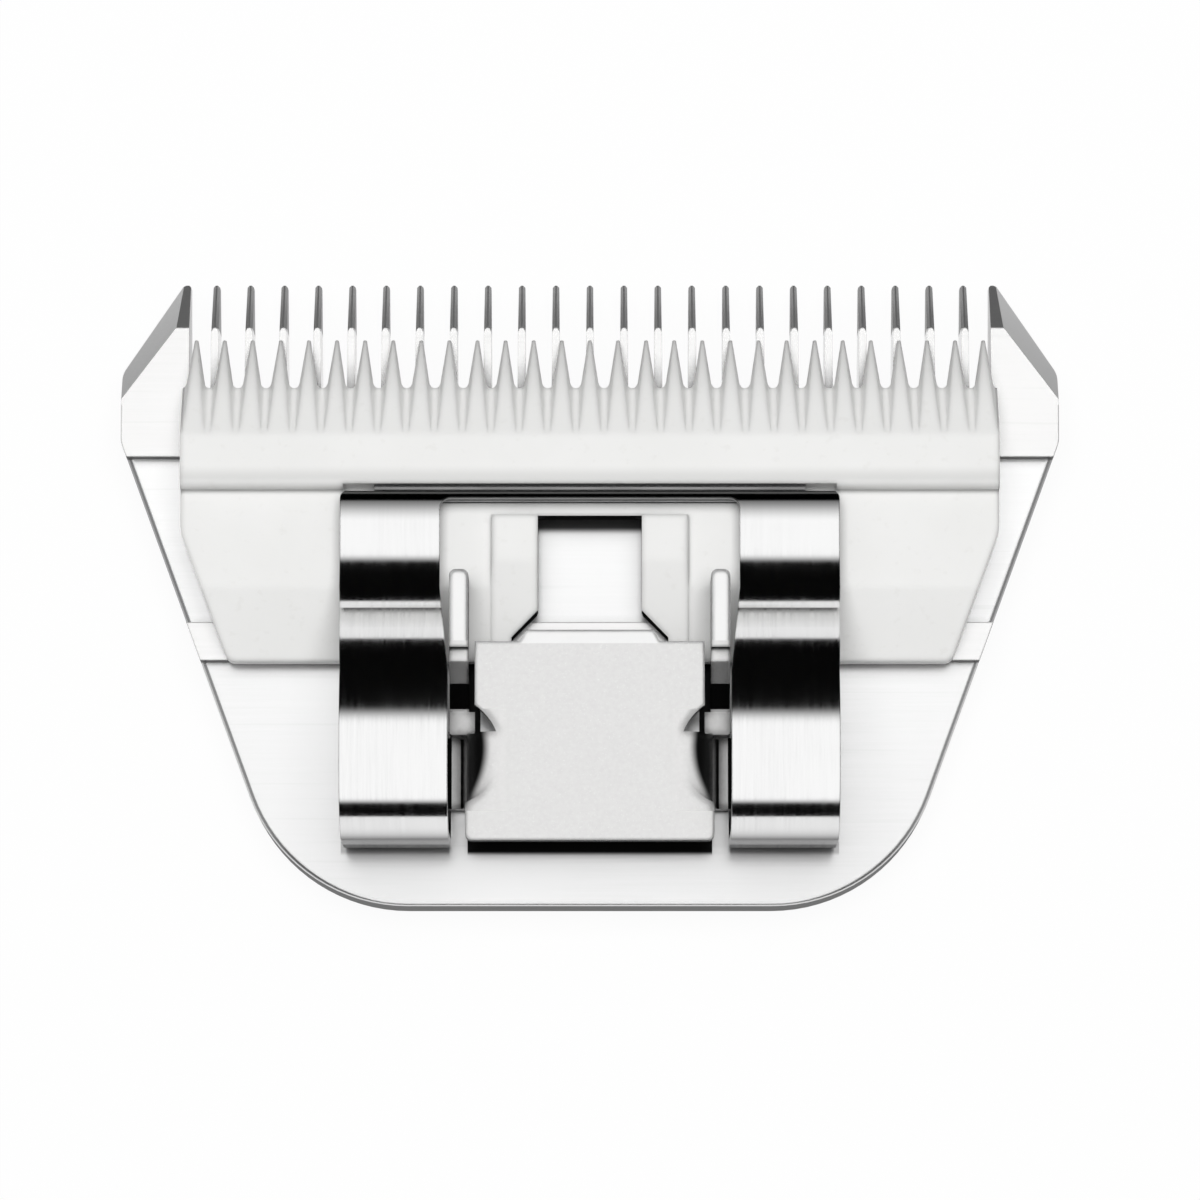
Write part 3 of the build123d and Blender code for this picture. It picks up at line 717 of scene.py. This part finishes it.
def makeWorld(s):
    world = bpy.data.worlds.new("studio")
    bpy.context.scene.world = world
    world.use_nodes = True
    world.cycles.sampling_method = "NONE"  # so that the light path tells matt from mirror rays
    tree = world.node_tree
    tree.nodes.clear()
    split = addNode(tree, "SeparateXYZ")
    tree.links.new(addNode(tree, "TexCoord").outputs["Generated"], split.inputs[0])
    direction = split.outputs
    up = either(tree, direction["Z"], s["boxLowest"])
    across = calc(tree, "ABSOLUTE", calc(tree, "DIVIDE", direction["X"], up))
    forward = calc(tree, "DIVIDE", direction["Y"], up)
    inBox = times(
        tree,
        insideAngles(tree, forward, s["boxFront"]),
        insideAngles(tree, times(tree, forward, -1.0), s["boxRear"]),
        insideAngles(tree, across, s["boxSide"]),
    )
    widthwise = calc(tree, "ABSOLUTE", direction["X"])
    lengthwise = calc(tree, "ABSOLUTE", direction["Y"])
    beside = fade(tree, calc(tree, "SUBTRACT", widthwise, lengthwise), *s["ringSideFrom"])
    ring = pick(tree, beside, s["ringLevel"], s["ringSide"])
    mirrored = pick(tree, inBox, ring, s["boxLevel"])
    path = addNode(tree, "LightPath").outputs
    studio = addNode(tree, "Background")
    tree.links.new(pick(tree, path["Is Diffuse Ray"], mirrored, s["fillLevel"]), studio.inputs["Color"])
    seen = addNode(tree, "Background")
    seen.inputs["Color"].default_value = grey(s["backdropShown"])
    mixShaders(tree, path["Is Camera Ray"], studio, seen, addNode(tree, "OutputWorld"))


def makeFloor(s):
    half, drop = s["floorSize"] / 2, -s["floorDrop"]
    mesh = bpy.data.meshes.new("floor")
    corners = [(-half, -half, drop), (half, -half, drop), (half, half, drop), (-half, half, drop)]
    mesh.from_pydata(corners, [], [(0, 1, 2, 3)])
    floor = bpy.data.objects.new("floor", mesh)
    bpy.context.scene.collection.objects.link(floor)
    material, tree, output = newMaterial("floorPaper")
    paper = addNode(tree, "BsdfDiffuse")
    paper.inputs["Color"].default_value = grey(s["floorPaper"])
    path = addNode(tree, "LightPath").outputs
    sideways = placeOf(tree)[1]
    atSide = fade(tree, sideways, *s["floorSideFade"])
    mirrorLevel = pick(tree, atSide, s["floorMirrored"], s["floorSide"])
    glow = addNode(tree, "Emission")
    tree.links.new(either(tree, mirrorLevel, path["Is Camera Ray"]), glow.inputs["Strength"])
    mirrored = either(tree, path["Is Glossy Ray"], path["Is Transmission Ray"])
    shown = times(tree, path["Is Camera Ray"], s["floorShown"])
    mixShaders(tree, either(tree, shown, mirrored), paper, glow, output)
    mesh.materials.append(material)


def makeKeyLight(s):
    data = bpy.data.lights.new("keyLight", "AREA")
    data.energy = s["keyWatts"]
    data.size = s["keySize"]
    lamp = bpy.data.objects.new("keyLight", data)
    lamp.location = s["keyPlace"]
    lamp.rotation_mode = "QUATERNION"
    lamp.rotation_quaternion = (-Vector(s["keyPlace"])).to_track_quat("-Z", "Y")
    lamp.visible_glossy = False  # mirrors see the world's soft box instead
    bpy.context.scene.collection.objects.link(lamp)


makeWorld(studioSettings)
makeFloor(studioSettings)
makeKeyLight(studioSettings)
print("studio set")

cameraSettings = {
    "target": (0.56 * mm, -0.5 * mm, 4.4 * mm),
    "distance": 400 * mm,
    "lean": 7.0,  # degrees from straight down, towards the rear
    "frameWidth": 66.33 * mm,
    "sensor": 36.0,
}


def makeCamera(s):
    data = bpy.data.cameras.new("camera")
    data.sensor_width = s["sensor"]
    data.lens = s["sensor"] * s["distance"] / s["frameWidth"]
    camera = bpy.data.objects.new("camera", data)
    lean = math.radians(s["lean"])
    back = Vector((0, -math.sin(lean), math.cos(lean)))
    camera.location = Vector(s["target"]) + back * s["distance"]
    camera.rotation_mode = "QUATERNION"
    camera.rotation_quaternion = (-back).to_track_quat("-Z", "Y")
    bpy.context.scene.collection.objects.link(camera)
    bpy.context.scene.camera = camera


makeCamera(cameraSettings)
bpy.context.scene.view_settings.view_transform = "Standard"
print("camera set")
